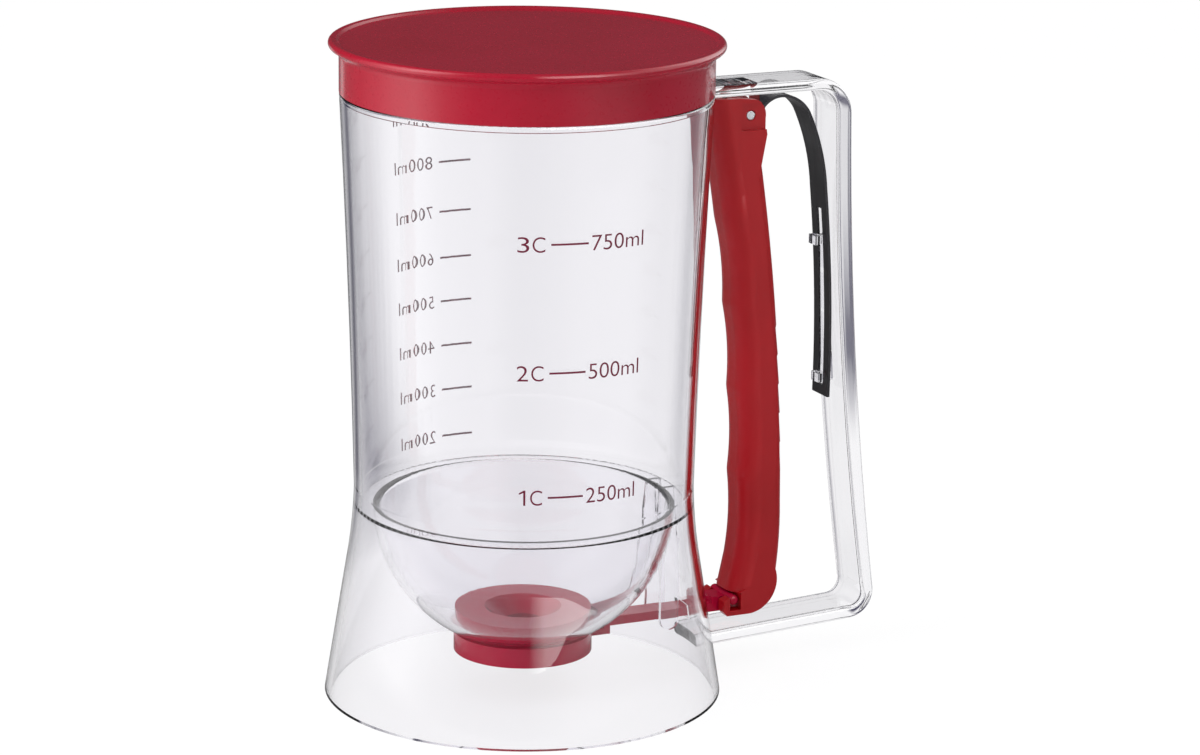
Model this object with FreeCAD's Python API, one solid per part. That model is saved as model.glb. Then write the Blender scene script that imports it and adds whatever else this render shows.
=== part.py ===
import FreeCAD, Part
import math
import os
from FreeCAD import Vector

# Pancake batter dispenser, in millimetres.
# The origin is on the cup's axis, on the plane that the skirt stands on.
# +Z is up and +X points from the cup to its handle.

# Clear body: outer radii at the heights of its main sections
base_radius = 56.3
flare_top_height = 37.0
flare_top_radius = 50.3
flare_bend_height = 48.0
flare_bend_radius = 48.7
waist_height = 60.0
waist_radius = 47.9
belly_height = 112.0
belly_radius = 49.3
shoulder_height = 172.4
shoulder_radius = 51.8
shoulder_edge_radius = 0.7
wall = 2.0
joint_height = 54.6

# Neck that the lid presses onto
neck_top = 181.8
neck_outer_radius = 49.8
neck_wall = 1.8
shoulder_thickness = 2.0

# Bowl that closes the cup's bottom
bowl_radius = 42.6
bowl_centre_height = 55.6
bowl_ledge = 1.6
bowl_lip_radius = 1.4
outlet_neck_radius = 18.2
outlet_neck_bottom = 15.6

# Valve round the outlet
cap_radius = 19.66
cap_bottom = 11.6
cap_top = 17.2
cap_wall = 1.3
cap_floor = 1.3
cap_exit_radius = 8.0
outlet_radius = 5.5
seat_radius = 16.5
seat_flange_radius = 19.6
seat_bottom = 16.1
seat_top = 23.8
funnel_radius = 11.0
funnel_depth = 4.5
gasket_outer_radius = 9.0
gasket_thickness = 1.0
shutter_radius = 7.6
shutter_thickness = 1.7
shutter_gap = 0.15

# Valve arm
arm_half_width = 3.5
arm_bottom = 15.6
arm_top = 18.2
arm_joggle = 24.0
arm_head_start = 58.5
hook_bar_x = 64.2
hook_bar_height = 19.2
hook_bar_radius = 1.5
hook_bar_length = 13.4

# Handle frame
bar_half_width = 8.0
bar_edge_radius = 1.3
upper_bar_top = 171.1
upper_bar_thickness = 3.4
grip_top_x = 98.0
grip_middle = (101.2, 97.0)
grip_bottom_x = 110.9
grip_thickness = 4.7
top_corner_radius = 11.0
bottom_corner_radius = 8.0
top_inner_radius = 6.5
bottom_inner_radius = 4.0
bar_joint_gap = 2.0
lower_bar_inner_bottom = 7.0
lower_bar_outer_bottom = 9.7
lower_bar_thickness = 3.9

# Trigger and its pin
pin_x = 66.2
pin_height = 161.9
pin_radius = 1.5
pin_clearance = 0.05
trigger_half_width = 7.5
trigger_wall = 2.0
trigger_front_wall = 2.4
trigger_top = 167.1
cheek_radius = 4.7
cheek_recess = 0.9
groove_count = 4
groove_depth = 0.8
groove_pitch = 25.0
ridge_radius = 10.0
front_edge_radius = 5.6
back_edge_radius = 2.2
trigger_grip_wall = 2.9
cheek_bottom = 156.0
front_top = (55.6, 158.0)
front_middle = (64.7, 88.0)
front_low = (65.5, 31.0)
pocket_gap = 0.3

# Hinge lug under the upper bar
lug_half_width = 5.2
lug_radius = 3.3

# Leaf spring
strip_thickness = 0.8
strip_half_width = 4.6
strip_tail_half_width = 4.0
strip_slot_half_width = 1.5
strip_slot_top = 132.0
strip_bottom = 76.5

# Lid
lid_gap = 0.1
band_radius = 51.85
band_top = 182.4
band_wall = 1.85
flange_radius = 54.8
lid_top = 187.0
lid_dish_depth = 0.7
rim_width = 2.2
seal_thickness = 1.0


def point(x, z, y=0.0):
    return Vector(x, y, z)


def line(start, end):
    return Part.LineSegment(point(*start), point(*end)).toShape()


def arc(start, middle, end):
    return Part.Arc(point(*start), point(*middle), point(*end)).toShape()


def polyline(points):
    return [line(start, end) for start, end in zip(points, points[1:])]


def face_of(edges):
    return Part.Face(Part.Wire(Part.sortEdges(edges)[0]))


def turned(edges):
    """Solid of revolution about the cup's axis from a closed outline in the XZ plane."""
    return face_of(edges).revolve(Vector(0, 0, 0), Vector(0, 0, 1), 360)


def slab(edges, half_width, centre=0.0):
    """Solid of one thickness along Y from a closed outline in the XZ plane."""
    face = face_of(edges)
    face.translate(Vector(0, centre - half_width, 0))
    return face.extrude(Vector(0, 2 * half_width, 0))


def block(low, high):
    size = [b - a for a, b in zip(low, high)]
    return Part.makeBox(size[0], size[1], size[2], Vector(*low))


def cylinder_y(radius, x, z, half_length):
    return Part.makeCylinder(radius, 2 * half_length, Vector(x, -half_length, z), Vector(0, 1, 0))


def ring(outer, inner, bottom, top):
    solid = Part.makeCylinder(outer, top - bottom, Vector(0, 0, bottom))
    return solid.cut(Part.makeCylinder(inner, top - bottom, Vector(0, 0, bottom)))


def mirrored_pair(solid):
    other = solid.mirror(Vector(0, 0, 0), Vector(0, 1, 0))
    return Part.makeCompound([solid, other])


def cleaned(shape):
    return shape.removeSplitter()


def body_profile(inset):
    """Edges of the clear body's outer side, moved inwards by the inset, from foot to shoulder."""
    foot = (base_radius - inset, 0.0)
    flare = (flare_top_radius - inset, flare_top_height)
    bend = (flare_bend_radius - inset, flare_bend_height)
    waist = (waist_radius - inset, waist_height)
    belly = (belly_radius - inset, belly_height)
    shoulder = (shoulder_radius - inset, shoulder_height)
    return [line(foot, flare), arc(flare, bend, waist), arc(waist, belly, shoulder)]


def body_core(inset):
    """Everything inside the clear body's side, from the base plane to the shoulder."""
    sides = body_profile(inset)
    closing = polyline([
        (shoulder_radius - inset, shoulder_height),
        (0.0, shoulder_height),
        (0.0, 0.0),
        (base_radius - inset, 0.0),
    ])
    return turned(sides + closing)


def half_space(bottom, top):
    return Part.makeCylinder(2 * base_radius, top - bottom, Vector(0, 0, bottom))


def bowl():
    """Round bottom of the cup with its outlet neck, and the ledge that meets the cup's wall."""
    centre = Vector(0, 0, bowl_centre_height)
    shell = Part.makeSphere(bowl_radius, centre).cut(Part.makeSphere(bowl_radius - wall, centre))
    shell = shell.common(half_space(outlet_neck_bottom, bowl_centre_height))
    shell = shell.cut(Part.makeCylinder(seat_radius, bowl_centre_height))
    neck_wall_top = bowl_centre_height - math.sqrt(bowl_radius ** 2 - seat_radius ** 2) + wall / 2
    neck = ring(outlet_neck_radius, seat_radius, outlet_neck_bottom, neck_wall_top)
    ledge = ring(waist_radius, bowl_radius - wall, bowl_centre_height - bowl_ledge, bowl_centre_height)
    ledge = ledge.common(half_space(joint_height, shoulder_height)).common(body_core(wall))
    whole = cleaned(shell.fuse([neck, ledge]))
    lip = [edge for edge in whole.Edges
           if abs(edge.CenterOfMass.z - bowl_centre_height) < 0.01
           and abs(edge.Length - 2 * math.pi * (bowl_radius - wall)) < 0.1]
    return whole.makeFillet(bowl_lip_radius, lip)


def container():
    """Cup: tapered wall with the recessed neck that the lid presses onto."""
    side = body_core(0).cut(body_core(wall)).common(half_space(joint_height, shoulder_height))
    neck_inner_radius = neck_outer_radius - neck_wall
    shoulder = ring(shoulder_radius - wall / 2, neck_inner_radius,
                    shoulder_height - shoulder_thickness, shoulder_height)
    neck = ring(neck_outer_radius, neck_inner_radius, shoulder_height - shoulder_thickness, neck_top)
    shoulder = shoulder.common(body_core(wall / 2))
    cup = cleaned(side.fuse([shoulder, neck]))
    rim = [edge for edge in cup.Edges
           if abs(edge.CenterOfMass.z - shoulder_height) < 0.01
           and abs(edge.Length - 2 * math.pi * shoulder_radius) < 0.1]
    return cup.makeFillet(shoulder_edge_radius, rim)


def base_skirt():
    """Flared skirt with the slot that the valve arm slides through."""
    skirt = body_core(0).cut(body_core(wall)).common(half_space(0, joint_height))
    slot_margin = 0.9
    slot = block((base_radius - 4 * wall, -arm_half_width - slot_margin, arm_bottom - slot_margin),
                 (base_radius, arm_half_width + slot_margin, arm_top + slot_margin))
    return cleaned(skirt.cut(slot))


def arm_guide():
    """Two clear tabs that hang from the ledge beside the arm and keep it straight."""
    tab_thickness = 1.4
    tab_start = 41.5
    tab_end = 47.5
    tab_bottom = 12.6
    gap = 0.5
    rounding = (tab_end - tab_start) / 2
    outline = polyline([
        (tab_start, tab_bottom + rounding),
        (tab_start, joint_height),
        (tab_end, joint_height),
        (tab_end, tab_bottom + rounding),
    ])
    outline.append(arc((tab_end, tab_bottom + rounding), (tab_start + rounding, tab_bottom),
                       (tab_start, tab_bottom + rounding)))
    tab = slab(outline, tab_thickness / 2, arm_half_width + gap + tab_thickness / 2)
    tab = tab.common(body_core(wall))
    return mirrored_pair(tab.cut(Part.makeSphere(bowl_radius, Vector(0, 0, bowl_centre_height))))


def rounded_bar(points):
    """Straight bar of the handle frame, with its long edges rounded."""
    bar = slab(polyline(points + [points[0]]), bar_half_width)
    return bar.makeFillet(bar_edge_radius, side_edges(bar, bar_half_width, 2 * grip_thickness))


def upper_bar_end():
    return grip_top_x - top_corner_radius - bar_joint_gap


def lower_bar_end():
    return grip_bottom_x - bottom_corner_radius - bar_joint_gap


def upper_handle_bar():
    start = shoulder_radius - 3 * wall
    end = upper_bar_end()
    bottom = upper_bar_top - upper_bar_thickness
    bar = rounded_bar([(start, bottom), (end, bottom), (end, upper_bar_top), (start, upper_bar_top)])
    return cleaned(bar.cut(body_core(0)))


def lower_bar_height(x):
    """Height of the lower bar's underside, which rises a little towards the grip."""
    start = base_radius
    end = grip_bottom_x
    share = (x - start) / (end - start)
    return lower_bar_inner_bottom + share * (lower_bar_outer_bottom - lower_bar_inner_bottom)


def lower_handle_bar():
    start = base_radius - 3 * wall
    end = lower_bar_end()
    outline = [
        (start, lower_bar_height(start)),
        (end, lower_bar_height(end)),
        (end, lower_bar_height(end) + lower_bar_thickness),
        (start, lower_bar_height(start) + lower_bar_thickness),
    ]
    bar = rounded_bar(outline)
    return cleaned(bar.cut(body_core(0)))


def edges_across(solid, corner):
    """Edges of a slab that run along Y through the given corner of its outline."""
    x, z = corner
    found = []
    for edge in solid.Edges:
        box = edge.BoundBox
        if abs(box.XMin - x) + abs(box.XMax - x) + abs(box.ZMin - z) + abs(box.ZMax - z) < 0.01:
            found.append(edge)
    return found


def side_edges(solid, half_width, shortest):
    """Edges of a slab that lie on its two flat sides and are longer than a given length."""
    return [edge for edge in solid.Edges
            if abs(abs(edge.BoundBox.YMin) - half_width) < 1e-4
            and edge.BoundBox.YLength < 1e-4
            and edge.Length > shortest]


def grip_bar():
    """Upright grip with the two rounded corners that lead into the cross bars."""
    top_end = upper_bar_end()
    bottom_end = lower_bar_end()
    inner_top = upper_bar_top - upper_bar_thickness
    outer_corner_top = (grip_top_x, upper_bar_top)
    outer_corner_bottom = (grip_bottom_x, lower_bar_height(grip_bottom_x))
    inner_corner_top = (grip_top_x - grip_thickness, inner_top)
    inner_bottom_x = grip_bottom_x - grip_thickness
    inner_corner_bottom = (inner_bottom_x, lower_bar_height(inner_bottom_x) + lower_bar_thickness)
    low = lower_bar_height(bottom_end)
    outline = [
        line((top_end, upper_bar_top), outer_corner_top),
        arc(outer_corner_top, grip_middle, outer_corner_bottom),
        line(outer_corner_bottom, (bottom_end, low)),
        line((bottom_end, low), (bottom_end, low + lower_bar_thickness)),
        line((bottom_end, low + lower_bar_thickness), inner_corner_bottom),
        arc(inner_corner_bottom, (grip_middle[0] - grip_thickness, grip_middle[1]), inner_corner_top),
        line(inner_corner_top, (top_end, inner_top)),
        line((top_end, inner_top), (top_end, upper_bar_top)),
    ]
    bar = slab(outline, bar_half_width)
    roundings = [
        (outer_corner_top, top_corner_radius),
        (outer_corner_bottom, bottom_corner_radius),
        (inner_corner_top, top_inner_radius),
        (inner_corner_bottom, bottom_inner_radius),
    ]
    for corner, radius in roundings:
        bar = bar.makeFillet(radius, edges_across(bar, corner))
    ends = upper_bar_thickness + lower_bar_thickness
    long_edges = [edge for edge in side_edges(bar, bar_half_width, 0.5)
                  if not (edge.Length < ends and abs(edge.BoundBox.XLength) < 1e-6)]
    return cleaned(bar.makeFillet(bar_edge_radius, long_edges))


def hinge_lug():
    """Lug between the trigger's cheeks that holds the pin."""
    top = upper_bar_top - upper_bar_thickness
    left = pin_x - 2.2 * lug_radius
    outline = [
        line((left, top), (pin_x + lug_radius, top)),
        line((pin_x + lug_radius, top), (pin_x + lug_radius, pin_height)),
        arc((pin_x + lug_radius, pin_height), (pin_x, pin_height - lug_radius),
            (pin_x - lug_radius, pin_height)),
        line((pin_x - lug_radius, pin_height), (left, top)),
    ]
    lug = slab(outline, lug_half_width)
    return lug.cut(cylinder_y(pin_radius, pin_x, pin_height, lug_half_width))


def hinge_pin():
    """Steel pin with a shallow dome on the end that shows."""
    half_length = trigger_half_width - cheek_recess - 0.1
    pin = cylinder_y(pin_radius, pin_x, pin_height, half_length)
    return pin.makeChamfer(0.3, [edge for edge in pin.Edges if edge.BoundBox.YLength < 1e-6])


def trigger_outline():
    """Side view of the trigger, clockwise from its top front corner."""
    top_front = (54.9, trigger_top)
    top_back = (62.6, trigger_top)
    cheek_top = (pin_x + 1.4, pin_height + cheek_radius - 0.25)
    cheek_back = (pin_x + cheek_radius, pin_height - 1.0)
    heel_top = (pin_x + cheek_radius, pin_height - 4.4)
    heel_low = (71.1, 156.3)
    back_top = (69.9, 149.8)
    back_low = (78.8, 48.0)
    back_end = (77.6, 24.5)
    bottom_back = (69.0, 14.9)
    toe = (61.6, 14.9)
    toe_front = (60.4, 16.2)
    toe_top = (60.4, 19.4)
    pocket_front = (63.2, 20.6)
    return [
        line(top_front, top_back),
        line(top_back, cheek_top),
        arc(cheek_top, (pin_x + 3.9, pin_height + 2.6), cheek_back),
        line(cheek_back, heel_top),
        line(heel_top, heel_low),
        line(heel_low, back_top),
        arc(back_top, (75.9, 104.0), back_low),
        arc(back_low, (78.7, 35.5), back_end),
        arc(back_end, (75.0, 17.8), bottom_back),
        line(bottom_back, toe),
        line(toe, toe_front),
        line(toe_front, toe_top),
        line(toe_top, pocket_front),
        line(pocket_front, front_low),
        line(front_top, top_front),
    ] + finger_grooves()


def front_point(height, depth=0.0):
    """Point on the trigger's front curve at a height, moved into the trigger by the depth."""
    front = Part.Arc(point(*front_low), point(*front_middle), point(*front_top)).toShape().Curve
    rise = height - front.Center.z
    crest = Vector(front.Center.x + math.sqrt(front.Radius ** 2 - rise ** 2), 0, height)
    moved = crest + (crest - front.Center).normalize() * depth
    return moved.x, moved.z


def ridge_heights():
    return [front_low[1] + number * groove_pitch for number in range(groove_count + 1)]


def finger_grooves():
    """Front edge of the trigger's outline: a shallow scallop for each finger, then a plain stretch."""
    heights = ridge_heights()
    edges = []
    for low, high in zip(heights, heights[1:]):
        edges.append(arc(front_point(low), front_point((low + high) / 2, groove_depth), front_point(high)))
    last = heights[-1]
    edges.append(arc(front_point(last), front_point((last + front_top[1]) / 2), front_top))
    return edges


def trigger_hollow():
    """Space inside the trigger, open at its back, and wider between the cheeks for the lug."""
    shift = trigger_front_wall
    far = base_radius * 2
    floor = 23.0
    top = (front_top[0] + shift, front_top[1])
    middle = (front_middle[0] + shift, front_middle[1])
    low = (front_low[0] + shift, front_low[1])
    outline = [arc(top, middle, low)] + polyline([
        low,
        (low[0], floor),
        (far, floor),
        (far, 2 * trigger_top),
        (top[0], 2 * trigger_top),
        top,
    ])
    between_cheeks = slab(outline, trigger_half_width - trigger_wall)
    between_cheeks = between_cheeks.common(half_space(cheek_bottom, 2 * trigger_top))
    return slab(outline, trigger_half_width - trigger_grip_wall).fuse(between_cheeks)


def trigger():
    solid = slab(trigger_outline(), trigger_half_width)
    for height in ridge_heights()[1:]:
        solid = solid.makeFillet(ridge_radius, edges_across(solid, front_point(height)))
    front_edges = [edge for edge in side_edges(solid, trigger_half_width, 1.0)
                   if front_low[1] < edge.CenterOfMass.z < front_top[1]
                   and edge.CenterOfMass.x < front_middle[0] + 2.0]
    solid = solid.makeFillet(front_edge_radius, front_edges)
    back_edges = [edge for edge in side_edges(solid, trigger_half_width, 20.0)
                  if edge.CenterOfMass.x > pin_x + cheek_radius + front_edge_radius / 2]
    solid = solid.makeFillet(back_edge_radius, back_edges)
    solid = solid.cut(trigger_hollow())
    solid = solid.cut(arm_pocket())
    solid = solid.cut(cylinder_y(pin_radius + pin_clearance, pin_x, pin_height, base_radius))
    recess_low = trigger_half_width - cheek_recess
    for side in (-1, 1):
        low = min(side * recess_low, side * (recess_low + wall))
        solid = solid.cut(block((pin_x - 3.3, low, pin_height - 4.2),
                                (pin_x + 2 * cheek_radius, low + wall, pin_height + 3.6)))
    return cleaned(solid)


def arm_pocket():
    """Room for the arm's cross bar in both cheeks, and for the arm between them."""
    gap = pocket_gap
    cross = block((hook_bar_x - hook_bar_radius - gap, -base_radius, hook_bar_height - hook_bar_radius - 1.3),
                  (hook_bar_x + hook_bar_radius + gap, base_radius, hook_bar_height + hook_bar_radius + 0.7))
    half = arm_half_width + 2 * gap
    slot = block((0, -half, 0),
                 (hook_bar_x + hook_bar_radius + gap, half, hook_bar_height + hook_bar_radius + 0.7))
    return cross.fuse(slot)


def strip_points():
    """Middle line of the leaf spring: ends and middles of its arcs, from the tail to the leg."""
    return [
        (64.4, 128.0),
        (68.0, 143.0),
        (70.4, 158.0),
        (71.7, 163.6),
        (77.6, 166.3),
        (82.4, 164.7),
        (85.9, 161.0),
        (89.7, 151.0),
        (92.0, 138.0),
        (94.2, 108.0),
        (94.5, strip_bottom),
    ]


def strip_side(distance):
    """The strip's middle line moved sideways, as arcs that meet end to end."""
    points = [Vector(x, 0, z) for x, z in strip_points()]
    moved = []
    for number, place in enumerate(points):
        before = points[max(number - 1, 0)]
        after = points[min(number + 1, len(points) - 1)]
        along = (after - before).normalize()
        moved.append(place + Vector(-along.z, 0, along.x) * distance)
    return [Part.Arc(*moved[start:start + 3]).toShape() for start in range(0, len(moved) - 2, 2)]


def leaf_spring():
    """Bent strip with a long slot: its leg hooks on the grip and its tail presses the trigger."""
    outer = strip_side(strip_thickness / 2)
    inner = strip_side(-strip_thickness / 2)
    caps = [
        Part.LineSegment(outer[0].Vertexes[0].Point, inner[0].Vertexes[0].Point).toShape(),
        Part.LineSegment(outer[-1].Vertexes[-1].Point, inner[-1].Vertexes[-1].Point).toShape(),
    ]
    strip = slab(outer + inner + caps, strip_half_width)
    slot_bottom = strip_bottom + 3.0
    slot = block((80.0, -strip_slot_half_width, slot_bottom),
                 (100.0, strip_slot_half_width, strip_slot_top))
    strip = strip.cut(slot)
    arch_x = 77.6
    for side_sign in (-1, 1):
        trim = Part.makePolygon([
            Vector(0, side_sign * strip_tail_half_width, 0),
            Vector(70.9, side_sign * strip_tail_half_width, 0),
            Vector(arch_x, side_sign * strip_half_width, 0),
            Vector(arch_x, side_sign * 2 * strip_half_width, 0),
            Vector(0, side_sign * 2 * strip_half_width, 0),
            Vector(0, side_sign * strip_tail_half_width, 0),
        ])
        strip = strip.cut(Part.Face(trim).extrude(Vector(0, 0, 2 * trigger_top)))
    return cleaned(strip)


def spring_rib():
    """Rib on the grip's inner face that passes through the strip's slot, with a hook at each end."""
    half = strip_slot_half_width - 0.4
    top = strip_slot_top - 8.0
    bottom = strip_bottom + 4.0
    hook_length = 2.6
    hook_half = strip_slot_half_width + 0.6
    front = 91.9
    outline = polyline([
        (front + 1.6, top),
        (front + 3.2, bottom),
        (grip_bottom_x, bottom),
        (grip_bottom_x, top),
        (front + 1.6, top),
    ])
    rib = slab(outline, half)
    upper_hook = block((front - 1.6, -hook_half, top - hook_length), (front + 0.2, hook_half, top))
    upper_stem = block((front - 0.2, -half, top - hook_length), (front + 3.0, half, top))
    lower_hook = block((front + 0.4, -hook_half, bottom), (front + 2.0, hook_half, bottom + hook_length))
    lower_stem = block((front + 1.6, -half, bottom), (front + 6.0, half, bottom + hook_length))
    rib = rib.fuse([upper_hook, upper_stem, lower_hook, lower_stem])
    inner_piece = min(rib.cut(grip_bar()).Solids, key=lambda solid: solid.BoundBox.XMin)
    return cleaned(inner_piece)


def valve_seat():
    """Plug in the bowl's outlet with a flange that rests on the bowl and a funnel to the outlet."""
    plug = Part.makeCylinder(seat_radius, seat_top - seat_bottom, Vector(0, 0, seat_bottom))
    flange = Part.makeCylinder(seat_flange_radius, seat_top - seat_bottom, Vector(0, 0, seat_bottom))
    bowl_inside = Part.makeSphere(bowl_radius - wall, Vector(0, 0, bowl_centre_height))
    funnel = Part.makeCone(outlet_radius, funnel_radius, funnel_depth,
                           Vector(0, 0, seat_top - funnel_depth))
    outlet = Part.makeCylinder(outlet_radius, seat_top)
    return cleaned(plug.fuse(flange.common(bowl_inside)).cut(funnel).cut(outlet))


def valve_gasket():
    bottom = seat_bottom - gasket_thickness
    return ring(gasket_outer_radius, outlet_radius, bottom, seat_bottom)


def shutter_top():
    return seat_bottom - gasket_thickness - shutter_gap


def valve_shutter():
    """Round plate on the arm's end that covers the outlet."""
    bottom = shutter_top() - shutter_thickness
    return Part.makeCylinder(shutter_radius, shutter_thickness, Vector(0, 0, bottom))


def valve_arm():
    """Flat bar from the shutter to the trigger, with the cross bar that the trigger pulls."""
    low = shutter_top() - shutter_thickness
    inner = block((shutter_radius - 2.0, -arm_half_width, low),
                  (arm_joggle + 2.0, arm_half_width, shutter_top()))
    inner = inner.cut(Part.makeCylinder(shutter_radius, base_radius))
    joggle = block((arm_joggle, -arm_half_width, low), (arm_joggle + 2.0, arm_half_width, arm_top))
    outer = block((arm_joggle, -arm_half_width, arm_bottom), (hook_bar_x, arm_half_width, arm_top))
    head = block((arm_head_start, -arm_half_width, arm_bottom),
                 (hook_bar_x, arm_half_width, hook_bar_height + hook_bar_radius / 2))
    cross_bar = cylinder_y(hook_bar_radius, hook_bar_x, hook_bar_height, hook_bar_length / 2)
    ends = [edge for edge in cross_bar.Edges if edge.BoundBox.YLength < 1e-6]
    cross_bar = cross_bar.makeFillet(hook_bar_radius * 0.6, ends)
    return cleaned(inner.fuse([joggle, outer, head, cross_bar]))


def valve_cap():
    """Red cap under the bowl that carries the shutter, with a window for the arm and shutter."""
    cap = Part.makeCylinder(cap_radius, cap_top - cap_bottom, Vector(0, 0, cap_bottom))
    inside_bottom = cap_bottom + cap_floor
    cap = cap.cut(Part.makeCylinder(cap_radius - cap_wall, cap_top, Vector(0, 0, inside_bottom)))
    cap = cap.cut(Part.makeCylinder(cap_exit_radius, cap_top))
    cap = cap.cut(Part.makeSphere(bowl_radius, Vector(0, 0, bowl_centre_height)))
    window_half = shutter_radius + 0.5
    window = block((0, -window_half, inside_bottom), (base_radius, window_half, shutter_top() + 0.4))
    return cleaned(cap.cut(window))


def lid_cap():
    """Press-on cap: band flush with the cup, flange round the top, shallow dish inside its rim."""
    bottom = shoulder_height + lid_gap
    inner_radius = band_radius - band_wall
    ceiling = neck_top + lid_gap + seal_thickness
    rim_middle = (lid_top + band_top + 2.4) / 2
    rim_outer_top = (flange_radius - 1.0, lid_top)
    rim_inner_top = (flange_radius - rim_width, lid_top - 0.15)
    dish = lid_top - lid_dish_depth
    dish_edge = (rim_inner_top[0] - 0.8, dish)
    edges = [
        line((inner_radius, bottom), (band_radius, bottom)),
        line((band_radius, bottom), (band_radius, band_top)),
        arc((band_radius, band_top), (band_radius + 0.7, band_top + 1.6), (band_radius + 2.0, band_top + 2.3)),
        arc((band_radius + 2.0, band_top + 2.3), (flange_radius, rim_middle), rim_outer_top),
        line(rim_outer_top, rim_inner_top),
        line(rim_inner_top, dish_edge),
        line(dish_edge, (0.0, dish)),
        line((0.0, dish), (0.0, ceiling)),
        line((0.0, ceiling), (inner_radius, ceiling)),
        line((inner_radius, ceiling), (inner_radius, bottom)),
    ]
    return turned(edges)


def lid_seal():
    """Soft ring under the lid that meets the neck's edge."""
    ceiling = neck_top + lid_gap + seal_thickness
    return ring(band_radius - band_wall, neck_outer_radius - neck_wall - 0.8,
                ceiling - seal_thickness, ceiling)


parts = {
    "container": container,
    "bowl": bowl,
    "base_skirt": base_skirt,
    "arm_guide": arm_guide,
    "upper_handle_bar": upper_handle_bar,
    "grip_bar": grip_bar,
    "lower_handle_bar": lower_handle_bar,
    "hinge_lug": hinge_lug,
    "spring_rib": spring_rib,
    "hinge_pin": hinge_pin,
    "leaf_spring": leaf_spring,
    "trigger": trigger,
    "valve_seat": valve_seat,
    "valve_gasket": valve_gasket,
    "valve_cap": valve_cap,
    "valve_arm": valve_arm,
    "valve_shutter": valve_shutter,
    "lid_cap": lid_cap,
    "lid_seal": lid_seal,
}

os.makedirs("parts", exist_ok=True)
for name, make in parts.items():
    shape = make()
    bounds = shape.BoundBox
    print(name, "valid", shape.isValid(), "solids", len(shape.Solids), "volume", round(shape.Volume, 1),
          "z", round(bounds.ZMin, 2), round(bounds.ZMax, 2))
    shape.exportStep("parts/" + name + ".step")
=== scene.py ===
import math
import bmesh
import bpy
from mathutils import Matrix, Vector
from mathutils.bvhtree import BVHTree
from mathutils.interpolate import poly_3d_calc


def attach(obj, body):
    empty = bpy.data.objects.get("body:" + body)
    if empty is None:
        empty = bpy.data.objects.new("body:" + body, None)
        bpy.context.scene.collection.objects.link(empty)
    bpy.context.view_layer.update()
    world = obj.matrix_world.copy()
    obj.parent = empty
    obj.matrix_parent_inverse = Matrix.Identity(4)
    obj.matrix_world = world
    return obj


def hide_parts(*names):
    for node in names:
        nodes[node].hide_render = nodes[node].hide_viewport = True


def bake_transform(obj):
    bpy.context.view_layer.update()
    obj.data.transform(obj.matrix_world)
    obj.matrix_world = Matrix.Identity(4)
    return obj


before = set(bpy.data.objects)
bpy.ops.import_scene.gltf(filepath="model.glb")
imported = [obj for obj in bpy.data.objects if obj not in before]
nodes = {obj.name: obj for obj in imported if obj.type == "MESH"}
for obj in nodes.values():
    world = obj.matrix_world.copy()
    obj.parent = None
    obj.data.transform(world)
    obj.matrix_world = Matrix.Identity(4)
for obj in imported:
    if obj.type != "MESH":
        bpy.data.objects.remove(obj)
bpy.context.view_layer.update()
body_name = "dispenser_body"
mm = 0.001


def add_object(name, data):
    piece = bpy.data.objects.new(name, data)
    bpy.context.scene.collection.objects.link(piece)
    return piece


# Camera: where the photograph was taken from, in the frame of the part
handle_azimuth = math.radians(24.5)
viewer_angle = -90.0 - math.degrees(handle_azimuth)
camera_distance = 1.13539
camera_height = 0.38737
camera_pitch = 0.25533
camera_yaw = 0.018555
camera_roll = 0.0131
focal_pixels = 4186.25
photo_width = 1200
sensor_width = 36.0


def make_camera():
    """Camera at the photograph's place, turned from its own axes into those of the part."""
    forward = Vector((math.sin(camera_yaw) * math.cos(camera_pitch),
                      math.cos(camera_yaw) * math.cos(camera_pitch),
                      -math.sin(camera_pitch)))
    right = forward.cross(Vector((0, 0, 1))).normalized()
    up = right.cross(forward)
    rolled_right = right * math.cos(camera_roll) + up * math.sin(camera_roll)
    rolled_up = up * math.cos(camera_roll) - right * math.sin(camera_roll)
    data = bpy.data.cameras.new("camera")
    data.sensor_width = sensor_width
    data.lens = focal_pixels * sensor_width / photo_width
    camera = add_object("camera", data)
    axes = Matrix((rolled_right, rolled_up, -forward)).transposed().to_4x4()
    place = Matrix.Translation((0, -camera_distance, camera_height))
    turn = Matrix.Rotation(-handle_azimuth, 4, "Z")
    camera.matrix_world = turn @ place @ axes
    bpy.context.scene.camera = camera


make_camera()


# Shader helpers, shared by the materials and the stage
noise_middle = (0.3, 0.7)


def new_material(name):
    material = bpy.data.materials.new(name)
    material.use_nodes = True
    return material, material.node_tree, material.node_tree.nodes["Principled BSDF"]


def maths(tree, operation, first, second=None):
    node = tree.nodes.new("ShaderNodeMath")
    node.operation = operation
    for socket, value in zip(node.inputs, (first, second)):
        if isinstance(value, (int, float)):
            socket.default_value = value
        elif value is not None:
            tree.links.new(value, socket)
    return node.outputs[0]


def choose(tree, factor, first, second):
    """The first colour where the factor is 0 and the second where it is 1, each fixed or linked."""
    node = tree.nodes.new("ShaderNodeMix")
    node.data_type = "RGBA"
    tree.links.new(factor, node.inputs[0])
    for socket, value in ((node.inputs[6], first), (node.inputs[7], second)):
        if isinstance(value, tuple):
            socket.default_value = (*value, 1)
        else:
            tree.links.new(value, socket)
    return node.outputs[2]


def map_range(tree, source, source_range, low=0.0, high=1.0):
    """Maps a range of the source to the values from low to high."""
    node = tree.nodes.new("ShaderNodeMapRange")
    node.inputs["From Min"].default_value = source_range[0]
    node.inputs["From Max"].default_value = source_range[1]
    node.inputs["To Min"].default_value = low
    node.inputs["To Max"].default_value = high
    tree.links.new(source, node.inputs["Value"])
    return node.outputs["Result"]


def light_path(tree):
    return tree.nodes.new("ShaderNodeLightPath").outputs


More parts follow.
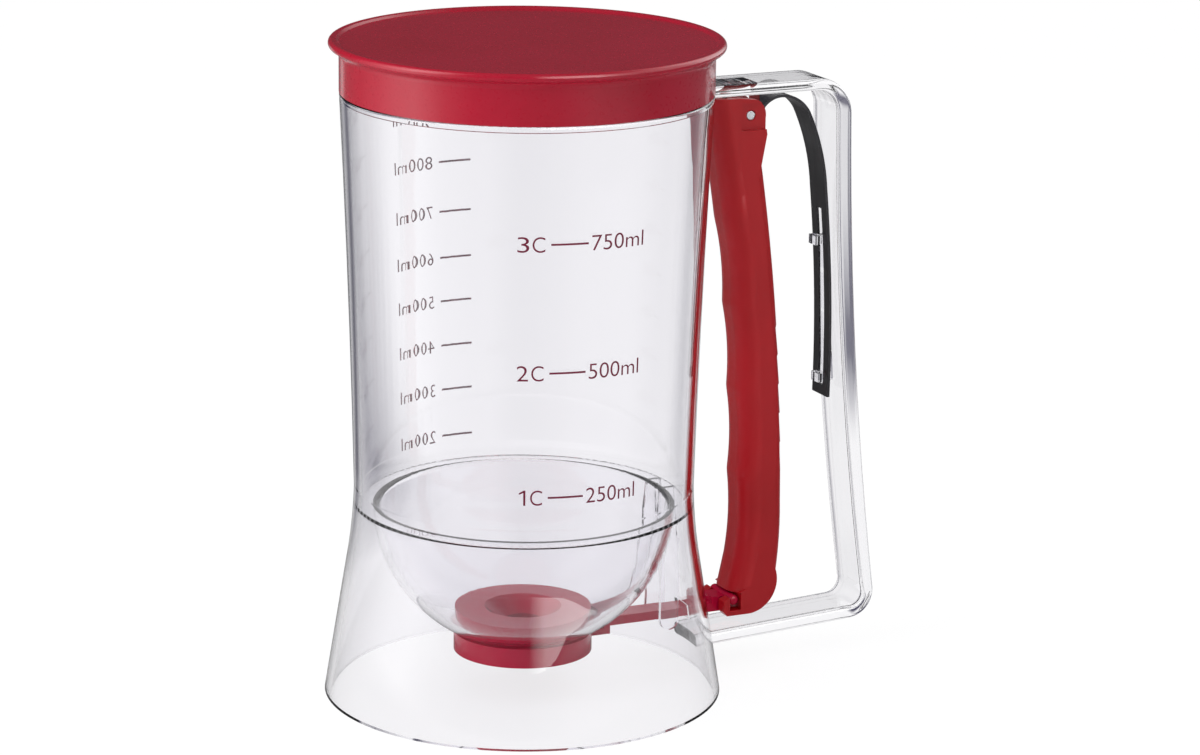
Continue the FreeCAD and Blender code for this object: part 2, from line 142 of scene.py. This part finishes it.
def object_noise(tree, scale, detail, stretch=(1, 1, 1)):
    """Noise in the part's own coordinates, so that it stays on the surface."""
    place = tree.nodes.new("ShaderNodeTexCoord")
    mapping = tree.nodes.new("ShaderNodeMapping")
    mapping.inputs["Scale"].default_value = stretch
    noise = tree.nodes.new("ShaderNodeTexNoise")
    noise.inputs["Scale"].default_value = scale
    noise.inputs["Detail"].default_value = detail
    tree.links.new(place.outputs["Object"], mapping.inputs["Vector"])
    tree.links.new(mapping.outputs["Vector"], noise.inputs["Vector"])
    return noise.outputs["Fac"]


def bump(tree, height, strength, distance):
    node = tree.nodes.new("ShaderNodeBump")
    node.inputs["Strength"].default_value = strength
    node.inputs["Distance"].default_value = distance
    tree.links.new(height, node.inputs["Height"])
    return node.outputs["Normal"]


def assign(material, *names):
    for name in names:
        mesh = nodes[name].data
        mesh.materials.clear()
        mesh.materials.append(material)


# Clear plastic
clear_colour = (0.966, 0.960, 0.979)
clear_index = 1.49
clear_roughness = (0.0, 0.03)
ripple_scale = 45
ripple_stretch = (1, 1, 0.25)
ripple_depth = 0.0006
straight_colour = (0.93, 0.93, 0.95)


def clear_plastic():
    """Clear moulded plastic with the faint ripple of its mould and a lavender tint."""
    material, tree, shader = new_material("clear_plastic")
    shader.inputs["Base Color"].default_value = (*clear_colour, 1)
    shader.inputs["Transmission Weight"].default_value = 1.0
    shader.inputs["IOR"].default_value = clear_index
    ripple = object_noise(tree, ripple_scale, 2.0, ripple_stretch)
    tree.links.new(map_range(tree, ripple, noise_middle, *clear_roughness), shader.inputs["Roughness"])
    tree.links.new(bump(tree, ripple, 0.05, ripple_depth), shader.inputs["Normal"])
    let_light_through(tree, shader)
    return material


def let_light_through(tree, shader):
    """Lamplight and bounced light pass the clear walls straight, so that what is inside is lit."""
    path = light_path(tree)
    straight = tree.nodes.new("ShaderNodeBsdfTransparent")
    straight.inputs["Color"].default_value = (*straight_colour, 1)
    mix = tree.nodes.new("ShaderNodeMixShader")
    tree.links.new(maths(tree, "MAXIMUM", path["Is Shadow Ray"], path["Is Diffuse Ray"]), mix.inputs[0])
    tree.links.new(shader.outputs[0], mix.inputs[1])
    tree.links.new(straight.outputs[0], mix.inputs[2])
    tree.links.new(mix.outputs[0], tree.nodes["Material Output"].inputs["Surface"])


# Skin of the welded clear parts
clear_nodes = ("container", "bowl", "base_skirt", "arm_guide", "upper_handle_bar", "grip_bar",
               "lower_handle_bar", "hinge_lug", "spring_rib")
split_edge_reach = 2e-6
smallest_face = 1e-12
face_reach = 2e-5
inward_share = 0.02
normal_match = 0.8


def closed_copy(name):
    """Copy of a CAD node with its split edges closed up again."""
    shape = bmesh.new()
    shape.from_mesh(nodes[name].data)
    bmesh.ops.remove_doubles(shape, verts=shape.verts, dist=split_edge_reach)
    bmesh.ops.recalc_face_normals(shape, faces=shape.faces)
    mesh = bpy.data.meshes.new("clear_" + name)
    shape.to_mesh(mesh)
    shape.free()
    return add_object("clear_" + name, mesh)


def evaluated_mesh(piece):
    """The piece's mesh with its modifiers applied."""
    bpy.context.view_layer.update()
    return bpy.data.meshes.new_from_object(piece.evaluated_get(bpy.context.evaluated_depsgraph_get()))


def node_faces(names):
    """Corner places and shading normals of every face of the named nodes."""
    faces = []
    for name in names:
        mesh = nodes[name].data
        for polygon in mesh.polygons:
            if polygon.area > smallest_face:
                places = [mesh.vertices[number].co.copy() for number in polygon.vertices]
                normals = [mesh.corner_normals[corner].vector.copy() for corner in polygon.loop_indices]
                faces.append((places, normals))
    return faces


def face_search(faces):
    """Search tree over the faces, whose numbers are those of the list."""
    points = [place for places, normals in faces for place in places]
    firsts = [0]
    for places, normals in faces:
        firsts.append(firsts[-1] + len(places))
    return BVHTree.FromPolygons(points, [list(range(a, b)) for a, b in zip(firsts, firsts[1:])])


def borrow_normals(mesh, names):
    """Gives the welded skin the exact shading normals of the faces that it was cut from."""
    faces = node_faces(names)
    search = face_search(faces)
    found = []
    for polygon in mesh.polygons:
        for number in polygon.vertices:
            place = mesh.vertices[number].co
            near = search.find_nearest_range(place.lerp(polygon.center, inward_share), face_reach)
            normal = polygon.normal.copy()
            if near:
                match = max(near, key=lambda hit: hit[1].dot(polygon.normal))
                if match[1].dot(polygon.normal) > normal_match:
                    places, normals = faces[match[2]]
                    weights = poly_3d_calc(places, place)
                    normal = sum((one * weight for one, weight in zip(normals, weights)), Vector())
            found.append(normal.normalized())
    mesh.shade_smooth()
    mesh.normals_split_custom_set(found)


def clear_body():
    """The welded clear parts as one skin, so that light passes their joints without a break."""
    copies = [closed_copy(name) for name in clear_nodes]
    first = copies[0]
    for other in copies[1:]:
        join = first.modifiers.new("weld", "BOOLEAN")
        join.operation = "UNION"
        join.solver = "EXACT"
        join.object = other
    mesh = evaluated_mesh(first)
    for copy in copies:
        bpy.data.objects.remove(copy)
    borrow_normals(mesh, clear_nodes)
    mesh.materials.clear()
    mesh.materials.append(clear_plastic())
    piece = add_object("clear_body", mesh)
    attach(piece, body_name)
    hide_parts(*clear_nodes)


clear_body()


# Coloured plastics
drift_scale = 30
grain_scale = 900
grain_strength = 0.06
grain_depth = 0.0002
roughness_spread = 0.15
coat_roughness = 0.09
coloured_index = 1.5


def moulded_plastic(name, dark, light, roughness, gloss, coat):
    """Coloured moulded plastic: slow colour drift, a fine grain and a soft gloss."""
    material, tree, shader = new_material(name)
    drift = map_range(tree, object_noise(tree, drift_scale, 2.0), noise_middle)
    tree.links.new(choose(tree, drift, dark, light), shader.inputs["Base Color"])
    grain = object_noise(tree, grain_scale, 4.0)
    rough = map_range(tree, grain, noise_middle, roughness * (1 - roughness_spread),
                      roughness * (1 + roughness_spread))
    tree.links.new(rough, shader.inputs["Roughness"])
    tree.links.new(bump(tree, grain, grain_strength, grain_depth), shader.inputs["Normal"])
    shader.inputs["Coat Weight"].default_value = coat
    shader.inputs["Coat Roughness"].default_value = coat_roughness
    shader.inputs["Specular IOR Level"].default_value = gloss
    shader.inputs["IOR"].default_value = coloured_index
    return material


assign(moulded_plastic("trigger_plastic", dark=(0.35, 0.002, 0.005), light=(0.41, 0.003, 0.008),
                       roughness=0.36, gloss=0.35, coat=0.0), "trigger")
assign(moulded_plastic("valve_plastic", dark=(0.38, 0.002, 0.026), light=(0.46, 0.004, 0.036),
                       roughness=0.22, gloss=0.15, coat=0.3),
       "valve_seat", "valve_cap", "valve_arm", "valve_shutter")
assign(moulded_plastic("lid_plastic", dark=(0.36, 0.005, 0.020), light=(0.40, 0.007, 0.028),
                       roughness=0.30, gloss=0.15, coat=0.65), "lid_cap")
assign(moulded_plastic("seal_silicone", dark=(0.62, 0.62, 0.63), light=(0.70, 0.70, 0.72),
                       roughness=0.5, gloss=0.5, coat=0.0), "valve_gasket", "lid_seal")


# Metals: the leaf spring and the hinge pin
drawing_scale = 600
drawing_strength = 0.05
drawing_depth = 0.0001


def metal(name, colour, roughness, metallic, stretch):
    """Metal with fine drawing lines along the strip or pin."""
    material, tree, shader = new_material(name)
    shader.inputs["Metallic"].default_value = metallic
    lines = object_noise(tree, drawing_scale, 3.0, stretch)
    pale = tuple(min(1.0, channel * 1.25 + 0.004) for channel in colour)
    tree.links.new(choose(tree, lines, colour, pale), shader.inputs["Base Color"])
    rough = map_range(tree, lines, noise_middle, roughness * 0.8, roughness * 1.2)
    tree.links.new(rough, shader.inputs["Roughness"])
    tree.links.new(bump(tree, lines, drawing_strength, drawing_depth), shader.inputs["Normal"])
    return material


def flexing_spring(material):
    """The leaf spring as one strip, copied from its CAD node with its placing baked in."""
    mesh = nodes["leaf_spring"].data.copy()
    mesh.name = "flexing_spring"
    piece = add_object("flexing_spring", mesh)
    mesh.materials.clear()
    mesh.materials.append(material)
    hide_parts("leaf_spring")
    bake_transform(piece)


flexing_spring(metal("spring_steel", (0.022, 0.021, 0.024), roughness=0.36, metallic=0.6,
                     stretch=(1, 1, 0.05)))
assign(metal("pin_steel", (0.62, 0.62, 0.64), roughness=0.25, metallic=1.0, stretch=(1, 0.1, 1)),
       "hinge_pin")


# Printed volume marks, wrapped on the cup's outer side
# Each section of the cup is its height and outer radius in mm, and ink has its inner and outer lift.
cup_sections = [(60.0, 47.9), (112.0, 49.3), (172.4, 51.8)]
ink_base = 0.02
ink_height = 0.07

# Each mark is its text and its height in mm
front_marks = [(3, "750ml", 140.3), (2, "500ml", 104.6), (1, "250ml", 69.6)]
back_marks = [(900, 157.4), (800, 143.4), (700, 128.9), (600, 115.4), (500, 102.6), (400, 89.5),
              (300, 76.4), (200, 62.6)]
front_letter_height = 4.3
back_letter_height = 3.7
line_thickness = 0.55
line_steps = 14
letter_cut = 0.6
fewest_letter_cuts = 4
letter_half_depth = 0.5
letter_thinning = -0.007

# Spans in degrees, the front ones from the viewer's direction and the back ones from the far side
figure_span = (-2.6, 1.0)
figure_one_span = (-1.6, 0.5)
cup_letter_span = (2.0, 5.9)
front_line_span = (7.7, 19.4)
front_volume_span = (20.5, 38.6)
back_line_span = (19.2, 31.0)
back_volume_span = (33.1, 50.5)


def circle_through(points):
    """Centre and radius of the circle through three points."""
    (ax, ay), (bx, by), (cx, cy) = points
    d = 2 * (ax * (by - cy) + bx * (cy - ay) + cx * (ay - by))
    a2, b2, c2 = ax * ax + ay * ay, bx * bx + by * by, cx * cx + cy * cy
    ux = (a2 * (by - cy) + b2 * (cy - ay) + c2 * (ay - by)) / d
    uy = (a2 * (cx - bx) + b2 * (ax - cx) + c2 * (bx - ax)) / d
    return ux, uy, math.hypot(ax - ux, ay - uy)


cup_arc = circle_through([(radius, height) for height, radius in cup_sections])


def cup_radius(height):
    centre_x, centre_z, radius = cup_arc
    side = math.sqrt(radius ** 2 - (height - centre_z) ** 2)
    return centre_x - side if centre_x > 0 else centre_x + side


def on_cup(degrees, height, lift):
    """Point on the cup's outer side, in metres, from an angle in degrees and a height in mm."""
    radius = cup_radius(height) + lift
    angle = math.radians(degrees)
    return Vector((radius * math.cos(angle), radius * math.sin(angle), height)) * mm


def ink():
    """Crimson printing ink with a faint grain."""
    material, tree, shader = new_material("scale_ink")
    grain = object_noise(tree, 700, 3.0)
    tree.links.new(choose(tree, grain, (0.12, 0.002, 0.022), (0.17, 0.004, 0.032)),
                   shader.inputs["Base Color"])
    tree.links.new(map_range(tree, grain, noise_middle, 0.35, 0.5), shader.inputs["Roughness"])
    return material


ink_material = ink()


def finish_ink(name, mesh):
    piece = add_object(name, mesh)
    mesh.materials.clear()
    mesh.materials.append(ink_material)
    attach(piece, body_name)


def dash(name, centre, span, height):
    """Thin printed line over a span of angle."""
    mesh = bpy.data.meshes.new(name)
    shape = bmesh.new()
    half = line_thickness / 2
    corners = ((-half, ink_base), (-half, ink_height), (half, ink_height), (half, ink_base))
    rows = []
    for number in range(line_steps + 1):
        angle = centre + span[0] + (span[1] - span[0]) * number / line_steps
        rows.append([shape.verts.new(on_cup(angle, height + rise, lift)) for rise, lift in corners])
    for first, second in zip(rows, rows[1:]):
        for side in range(4):
            after = (side + 1) % 4
            shape.faces.new((first[side], second[side], second[after], first[after]))
    shape.faces.new(rows[0][::-1])
    shape.faces.new(rows[-1])
    bmesh.ops.recalc_face_normals(shape, faces=shape.faces)
    shape.to_mesh(mesh)
    shape.free()
    finish_ink(name, mesh)


def one_glyph():
    """Figure one as an upright stroke with a flag, in the units of the built-in letters."""
    mesh = bpy.data.meshes.new("one")
    outline = [(0.26, 0.0), (0.33, 0.0), (0.33, 0.69), (0.28, 0.69), (0.12, 0.57), (0.12, 0.50), (0.26, 0.58)]
    points = [(x, y, z) for z in (-letter_half_depth, letter_half_depth) for x, y in outline]
    count = len(outline)
    faces = [tuple(range(count))[::-1], tuple(range(count, 2 * count))]
    faces += [(number, (number + 1) % count, (number + 1) % count + count, number + count)
              for number in range(count)]
    mesh.from_pydata(points, [], faces)
    return mesh


def letters(text):
    """Flat letters with a little thickness, as a mesh in the units of the built-in letters."""
    curve = bpy.data.curves.new(text, "FONT")
    curve.body = text
    curve.resolution_u = 6
    curve.extrude = letter_half_depth
    curve.offset = letter_thinning
    holder = add_object(text, curve)
    mesh = evaluated_mesh(holder)
    bpy.data.objects.remove(holder)
    return mesh


def words(name, mesh, centre, span, height, letter_height):
    """Letters stretched over a span of angle and wrapped on the cup."""
    shape = bmesh.new()
    shape.from_mesh(mesh)
    left = min(vertex.co.x for vertex in shape.verts)
    right = max(vertex.co.x for vertex in shape.verts)
    low = min(vertex.co.y for vertex in shape.verts)
    high = max(vertex.co.y for vertex in shape.verts)
    cuts = max(fewest_letter_cuts, round((span[1] - span[0]) / letter_cut))
    for number in range(1, cuts):
        place = left + (right - left) * number / cuts
        everything = shape.verts[:] + shape.edges[:] + shape.faces[:]
        bmesh.ops.bisect_plane(shape, geom=everything, plane_co=(place, 0, 0), plane_no=(1, 0, 0))
    for vertex in shape.verts:
        share = (vertex.co.x - left) / (right - left)
        angle = centre + span[0] + (span[1] - span[0]) * share
        rise = ((vertex.co.y - low) / (high - low) - 0.5) * letter_height
        lift = ink_height if vertex.co.z > 0 else ink_base
        vertex.co = on_cup(angle, height + rise, lift)
    shape.to_mesh(mesh)
    shape.free()
    mesh.name = name
    finish_ink(name, mesh)


def print_front_scale():
    """Cups and millilitres towards the viewer."""
    for cups, volume, height in front_marks:
        if cups == 1:
            figure, span = one_glyph(), figure_one_span
        else:
            figure, span = letters(str(cups)), figure_span
        words("mark_%d_figure" % cups, figure, viewer_angle, span, height, front_letter_height)
        words("mark_%d_cup" % cups, letters("C"), viewer_angle, cup_letter_span, height, front_letter_height)
        dash("mark_%d_line" % cups, viewer_angle, front_line_span, height)
        words("mark_%d_volume" % cups, letters(volume), viewer_angle, front_volume_span, height,
              front_letter_height)


def print_back_scale():
    """Millilitres on the far side, read from behind."""
    far = viewer_angle + 180.0
    for volume, height in back_marks:
        dash("back_line_%d" % volume, far, back_line_span, height)
        words("back_mark_%d" % volume, letters("%dml" % volume), far, back_volume_span, height,
              back_letter_height)


print_front_scale()
print_back_scale()


# Stage: floor, world and soft lamps
# Azimuths are in degrees round the part from the camera's direction, positive to the right.
white = (1.0, 1.0, 1.0)
navy = (0.028, 0.023, 0.075)
black = (0.002, 0.002, 0.003)
softbox_strength = 6.5

# What gloss shows: a softbox on the left, a wider one on the right, dark between and behind.
# Each stop is an azimuth and its brightness, first for the floor and then for the world.
reflected_low = [(-180, 0.02), (-160, 0.00), (-152, 0.14), (-144, 0.00), (-118, 0.02), (-100, 0.10),
                 (-84, 0.26), (-70, 0.34), (-50, 0.10), (-32, 0.02), (20, 0.02), (40, 0.08), (58, 0.07),
                 (80, 0.01), (150, 0.01), (165, 0.06), (180, 0.02)]
reflected_high = [(-180, 0.006), (-118, 0.01), (-96, 0.20), (-68, 0.80), (-38, 0.04), (4, 0.01), (14, 0.75),
                  (30, 0.95), (42, 1.00), (54, 0.45), (70, 0.20), (82, 0.30), (104, 0.25), (125, 0.40),
                  (150, 0.25), (165, 0.01), (180, 0.006)]

# What clear plastic shows: white straight behind, then a dark panel on each side, the right one paler
seen_through = [(-180, 1.00), (-171, 1.00), (-160, 0.02), (-148, 0.02), (-138, 0.70), (-124, 0.75),
                (-112, 0.40), (-85, 0.70), (-60, 0.30), (5, 0.10), (28, 1.00), (85, 0.90), (105, 0.80),
                (115, 0.50), (124, 0.25), (147, 1.00), (180, 1.00)]

# The floor, in metres, and the distances from the part at which its glow changes
floor_half = 4.0
floor_drop = 0.0002
floor_ring = (0.14, 0.24)
paper_colour = (0.92, 0.92, 0.93)
floor_near_gloss = (0.02, 0.02, 0.02)
floor_glow_share = 0.86
floor_camera_extra = 0.04

# The world's light for diffuse and glossy rays, at the sides and overhead
overhead_range = (0.68, 0.90)
side_light = (0.33, 0.33, 0.33)
overhead_light = (1.60, 1.60, 1.60)
overhead_gloss = (0.01, 0.01, 0.01)
lamp_target = Vector((0.02, 0, 0.09))


def azimuth_share(tree, vector):
    """0 to 1 round the part; 0.5 is the camera's direction and 0 and 1 are straight behind."""
    parts = tree.nodes.new("ShaderNodeSeparateXYZ")
    tree.links.new(vector, parts.inputs[0])
    turn = maths(tree, "ARCTAN2", parts.outputs["Y"], parts.outputs["X"])
    turned = maths(tree, "SUBTRACT", turn, math.radians(viewer_angle))
    return maths(tree, "FRACT", maths(tree, "ADD", maths(tree, "DIVIDE", turned, 2 * math.pi), 1.5))


def band(tree, share, stops, dark):
    """Colour by azimuth from stops of azimuth and brightness, between a dark colour and white."""
    ramp = tree.nodes.new("ShaderNodeValToRGB")
    elements = ramp.color_ramp.elements
    places = [0.5 + azimuth / 360.0 for azimuth, level in stops]
    elements[0].position = places[0]
    elements[1].position = places[-1]
    for place in places[1:-1]:
        elements.new(place)
    for element, (azimuth, level) in zip(elements, stops):
        element.color = (*[low + (1.0 - low) * level for low in dark], 1)
    tree.links.new(share, ramp.inputs[0])
    return ramp.outputs["Color"]


def reflected_strength(tree, path):
    """1, and the softboxes' own strength for what gloss reflects."""
    reflected = maths(tree, "SUBTRACT", path["Is Glossy Ray"], path["Is Transmission Ray"])
    extra = maths(tree, "MULTIPLY", maths(tree, "MAXIMUM", reflected, 0.0), softbox_strength - 1.0)
    return maths(tree, "ADD", 1.0, extra)


def floor_distance(tree, place):
    """0 on the floor near the part and 1 away from it."""
    length = tree.nodes.new("ShaderNodeVectorMath")
    length.operation = "LENGTH"
    tree.links.new(place, length.inputs[0])
    return map_range(tree, length.outputs["Value"], floor_ring)


def floor_glow(tree, path):
    """Light of the floor: white to the camera, and the softboxes and panels to gloss and clear plastic."""
    place = tree.nodes.new("ShaderNodeTexCoord").outputs["Object"]
    share = azimuth_share(tree, place)
    far = floor_distance(tree, place)
    through = choose(tree, far, white, band(tree, share, seen_through, navy))
    glossy = choose(tree, far, floor_near_gloss, band(tree, share, reflected_low, black))
    colour = choose(tree, path["Is Transmission Ray"], glossy, through)
    colour = choose(tree, path["Is Camera Ray"], colour, white)
    extra = maths(tree, "MULTIPLY", path["Is Camera Ray"], floor_camera_extra)
    glow = tree.nodes.new("ShaderNodeEmission")
    tree.links.new(colour, glow.inputs["Color"])
    tree.links.new(maths(tree, "ADD", reflected_strength(tree, path), extra), glow.inputs["Strength"])
    return glow.outputs[0]


def floor_paper():
    """White paper that glows by itself but for the share that keeps the part's shadow."""
    material = bpy.data.materials.new("floor_paper")
    material.use_nodes = True
    tree = material.node_tree
    tree.nodes.clear()
    output = tree.nodes.new("ShaderNodeOutputMaterial")
    paper = tree.nodes.new("ShaderNodeBsdfDiffuse")
    paper.inputs["Color"].default_value = (*paper_colour, 1)
    path = light_path(tree)
    sent = maths(tree, "MAXIMUM", path["Is Glossy Ray"], path["Is Transmission Ray"])
    seen = maths(tree, "MAXIMUM", path["Is Camera Ray"], sent)
    mix = tree.nodes.new("ShaderNodeMixShader")
    tree.links.new(maths(tree, "MULTIPLY", seen, floor_glow_share), mix.inputs[0])
    tree.links.new(paper.outputs[0], mix.inputs[1])
    tree.links.new(floor_glow(tree, path), mix.inputs[2])
    tree.links.new(mix.outputs[0], output.inputs[0])
    return material


def make_floor():
    mesh = bpy.data.meshes.new("floor")
    corners = [(-floor_half, -floor_half, 0), (floor_half, -floor_half, 0),
               (floor_half, floor_half, 0), (-floor_half, floor_half, 0)]
    mesh.from_pydata(corners, [], [(0, 1, 2, 3)])
    mesh.materials.append(floor_paper())
    floor = add_object("floor", mesh)
    floor.location.z = -floor_drop


def make_world():
    """White behind the part, and the softboxes and dark panels that gloss and clear plastic show."""
    world = bpy.data.worlds.new("studio")
    bpy.context.scene.world = world
    world.use_nodes = True
    tree = world.node_tree
    background = tree.nodes["Background"]
    path = light_path(tree)
    direction = tree.nodes.new("ShaderNodeTexCoord").outputs["Generated"]
    share = azimuth_share(tree, direction)
    height = tree.nodes.new("ShaderNodeSeparateXYZ")
    tree.links.new(direction, height.inputs[0])
    overhead = map_range(tree, height.outputs["Z"], overhead_range)
    glossy = choose(tree, overhead, band(tree, share, reflected_high, black), overhead_gloss)
    diffuse = choose(tree, overhead, side_light, overhead_light)
    colour = choose(tree, path["Is Glossy Ray"], diffuse, glossy)
    colour = choose(tree, path["Is Transmission Ray"], colour, band(tree, share, seen_through, navy))
    colour = choose(tree, path["Is Camera Ray"], colour, white)
    tree.links.new(colour, background.inputs["Color"])
    tree.links.new(reflected_strength(tree, path), background.inputs["Strength"])


def lamp(name, azimuth, elevation, distance, width, height, power):
    """Soft lamp at an azimuth, aimed at the middle of the part; its reflection is the world's softbox."""
    data = bpy.data.lights.new(name, "AREA")
    data.shape = "RECTANGLE"
    data.size = width
    data.size_y = height
    data.energy = power
    light = add_object(name, data)
    light.visible_glossy = False
    light.visible_transmission = False
    angle = math.radians(viewer_angle + azimuth)
    lift = math.radians(elevation)
    offset = Vector((math.cos(angle) * math.cos(lift), math.sin(angle) * math.cos(lift), math.sin(lift)))
    light.location = lamp_target + offset * distance
    light.rotation_euler = offset.to_track_quat("Z", "Y").to_euler()


bpy.context.scene.view_settings.view_transform = "Standard"
make_floor()
make_world()
lamp("left_softbox", azimuth=-62, elevation=20, distance=0.9, width=0.35, height=0.7, power=5)
lamp("right_softbox", azimuth=30, elevation=40, distance=0.95, width=0.4, height=0.7, power=0.7)
